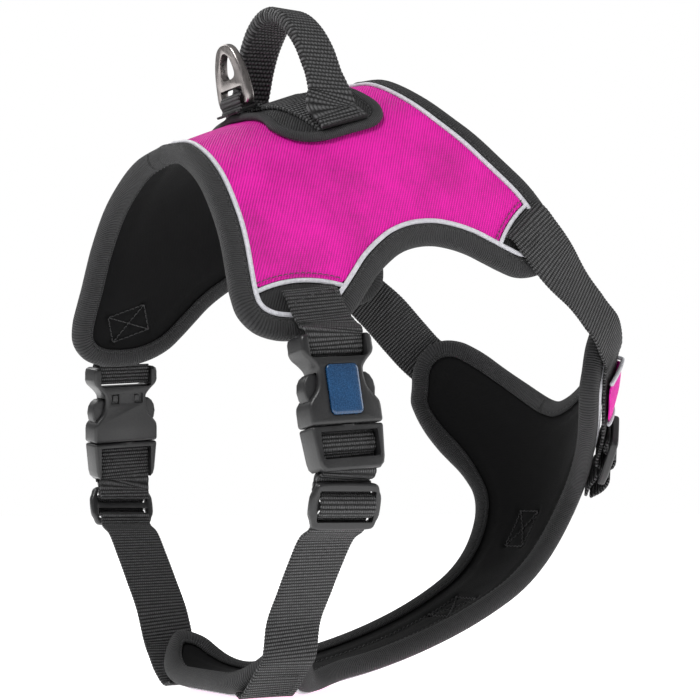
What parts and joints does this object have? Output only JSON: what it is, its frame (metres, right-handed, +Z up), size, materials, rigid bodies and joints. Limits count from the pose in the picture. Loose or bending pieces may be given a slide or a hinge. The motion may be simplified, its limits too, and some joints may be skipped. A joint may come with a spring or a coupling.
{
  "type": "dog harness",
  "caption": "Padded no-pull dog harness: bound saddle with handle and leash ring, chest plate, side-release girth buckles and adjustable straps.",
  "frame": {"origin": "on the ridge line of the saddle, just under its lining, where the harness rests on the dog's back", "axes": "+Y the dog's forward direction, +X the dog's right-hand side, +Z up"},
  "size_m": [0.2156, 0.2327, 0.3051],
  "materials": {
    "cover_fabric": "magenta woven polyester, fine diagonal twill",
    "black_fabric": "black woven polyester",
    "lining": "near-black smooth padded lining",
    "binding": "charcoal ribbed stretch binding",
    "piping": "silver-grey reflective piping",
    "webbing": "black ribbed webbing",
    "plastic": "black moulded plastic, fine texture",
    "badge": "domed glossy deep blue, plain",
    "ring_metal": "dark gunmetal die-casting"
  },
  "bodies": {
    "harness": {"buckle_badge_left": "badge", "buckle_badge_right": "badge", "buckle_housing_left": "plastic", "buckle_housing_right": "plastic", "chest_anchor_left": "webbing", "chest_anchor_right": "webbing", "chest_band_left": "cover_fabric", "chest_band_right": "cover_fabric", "chest_binding": "binding", "chest_cover": "cover_fabric", "chest_front": "black_fabric", "chest_lining": "lining", "chest_piping": "piping", "chest_tip_left": "black_fabric", "chest_tip_right": "black_fabric", "chest_tip_tail_left": "black_fabric", "chest_tip_tail_right": "black_fabric", "chest_trim_front": "piping", "chest_trim_lower_left": "piping", "chest_trim_lower_right": "piping", "chest_trim_tail_left": "piping", "chest_trim_tail_right": "piping", "chest_trim_upper_left": "piping", "chest_trim_upper_right": "piping", "front_ring_loop": "webbing", "girth_anchor_left": "webbing", "girth_anchor_right": "webbing", "girth_strap_left": "webbing", "girth_strap_right": "webbing", "handle_base": "webbing", "handle_patch": "black_fabric", "patch_binding": "binding", "ring_loop": "webbing", "saddle_binding": "binding", "saddle_cover": "cover_fabric", "saddle_lining": "lining", "saddle_piping": "piping", "saddle_tip_front_left": "black_fabric", "saddle_tip_front_right": "black_fabric", "saddle_tip_rear_left": "black_fabric", "saddle_tip_rear_right": "black_fabric", "saddle_trim_front_left": "piping", "saddle_trim_front_right": "piping", "saddle_trim_rear_left": "piping", "saddle_trim_rear_right": "piping", "shoulder_strap_left": "webbing", "shoulder_strap_right": "webbing"},
    "leash_ring": {"leash_ring": "ring_metal"},
    "front_ring": {"front_ring": "ring_metal"},
    "handle": {"handle": "webbing"},
    "plug_right": {"buckle_plug_right": "plastic"},
    "prong_front_right": {"prong_front_right": "plastic"},
    "prong_rear_right": {"prong_rear_right": "plastic"},
    "girth_slider_right": {"girth_slider_right": "plastic"},
    "chest_slider_right": {"chest_slider_right": "plastic"},
    "plug_left": {"buckle_plug_left": "plastic"},
    "prong_front_left": {"prong_front_left": "plastic"},
    "prong_rear_left": {"prong_rear_left": "plastic"},
    "girth_slider_left": {"girth_slider_left": "plastic"},
    "chest_slider_left": {"chest_slider_left": "plastic"}
  },
  "joints": [
    {"name": "handle_flop", "type": "hinge", "parent": "harness", "child": "handle", "pos_m": [0, 0.003, 0.0125], "axis": [1, 0, 0], "range_deg": [-45, 35]},
    {"name": "leash_ring_tilt", "type": "hinge", "parent": "harness", "child": "leash_ring", "pos_m": [0, -0.0225, 0.007], "axis": [1, 0, 0], "range_deg": [-60, 70]},
    {"name": "front_ring_tilt", "type": "hinge", "parent": "harness", "child": "front_ring", "pos_m": [0, 0.16208, -0.14333], "axis": [1, 0, 0], "range_deg": [-10, 115]},
    {"name": "buckle_release_right", "type": "slide", "parent": "harness", "child": "plug_right", "axis": [0.1323, 0.0795, -0.988], "range_m": [0, 0.012], "deforming": ["girth_strap_right", "prong_front_right", "prong_rear_right"]},
    {"name": "prong_squeeze_front_right", "type": "hinge", "parent": "plug_right", "child": "prong_front_right", "pos_m": [0.09989, -0.02131, -0.13987], "axis": [0.9912, -0.0106, 0.1318], "range_deg": [0, 7], "stiffness_Nm_per_rad": 0.02},
    {"name": "prong_squeeze_rear_right", "type": "hinge", "parent": "plug_right", "child": "prong_rear_right", "pos_m": [0.09989, -0.03926, -0.14131], "axis": [-0.9912, 0.0106, -0.1318], "range_deg": [0, 7], "stiffness_Nm_per_rad": 0.02},
    {"name": "girth_adjust_right", "type": "slide", "parent": "plug_right", "child": "girth_slider_right", "axis": [-0.7181, 0, -0.696], "range_m": [0, 0.012], "deforming": ["girth_strap_right"]},
    {"name": "chest_slider_tilt_right", "type": "hinge", "parent": "harness", "child": "chest_slider_right", "pos_m": [0.04161, 0.15049, -0.15458], "axis": [-0.6454, 0.5809, 0.4959], "range_deg": [0, 15], "deforming": ["shoulder_strap_right"]},
    {"name": "buckle_release_left", "type": "slide", "parent": "harness", "child": "plug_left", "axis": [-0.1323, 0.0795, -0.988], "range_m": [0, 0.012], "deforming": ["girth_strap_left", "prong_front_left", "prong_rear_left"]},
    {"name": "prong_squeeze_front_left", "type": "hinge", "parent": "plug_left", "child": "prong_front_left", "pos_m": [-0.09989, -0.02131, -0.13987], "axis": [0.9912, 0.0106, -0.1318], "range_deg": [0, 7], "stiffness_Nm_per_rad": 0.02},
    {"name": "prong_squeeze_rear_left", "type": "hinge", "parent": "plug_left", "child": "prong_rear_left", "pos_m": [-0.09989, -0.03926, -0.14131], "axis": [-0.9912, -0.0106, 0.1318], "range_deg": [0, 7], "stiffness_Nm_per_rad": 0.02},
    {"name": "girth_adjust_left", "type": "slide", "parent": "plug_left", "child": "girth_slider_left", "axis": [0.7181, 0, -0.696], "range_m": [0, 0.012], "deforming": ["girth_strap_left"]},
    {"name": "chest_slider_tilt_left", "type": "hinge", "parent": "harness", "child": "chest_slider_left", "pos_m": [-0.04161, 0.15049, -0.15458], "axis": [-0.6454, -0.5809, -0.4959], "range_deg": [0, 15], "deforming": ["shoulder_strap_left"]}
  ]
}
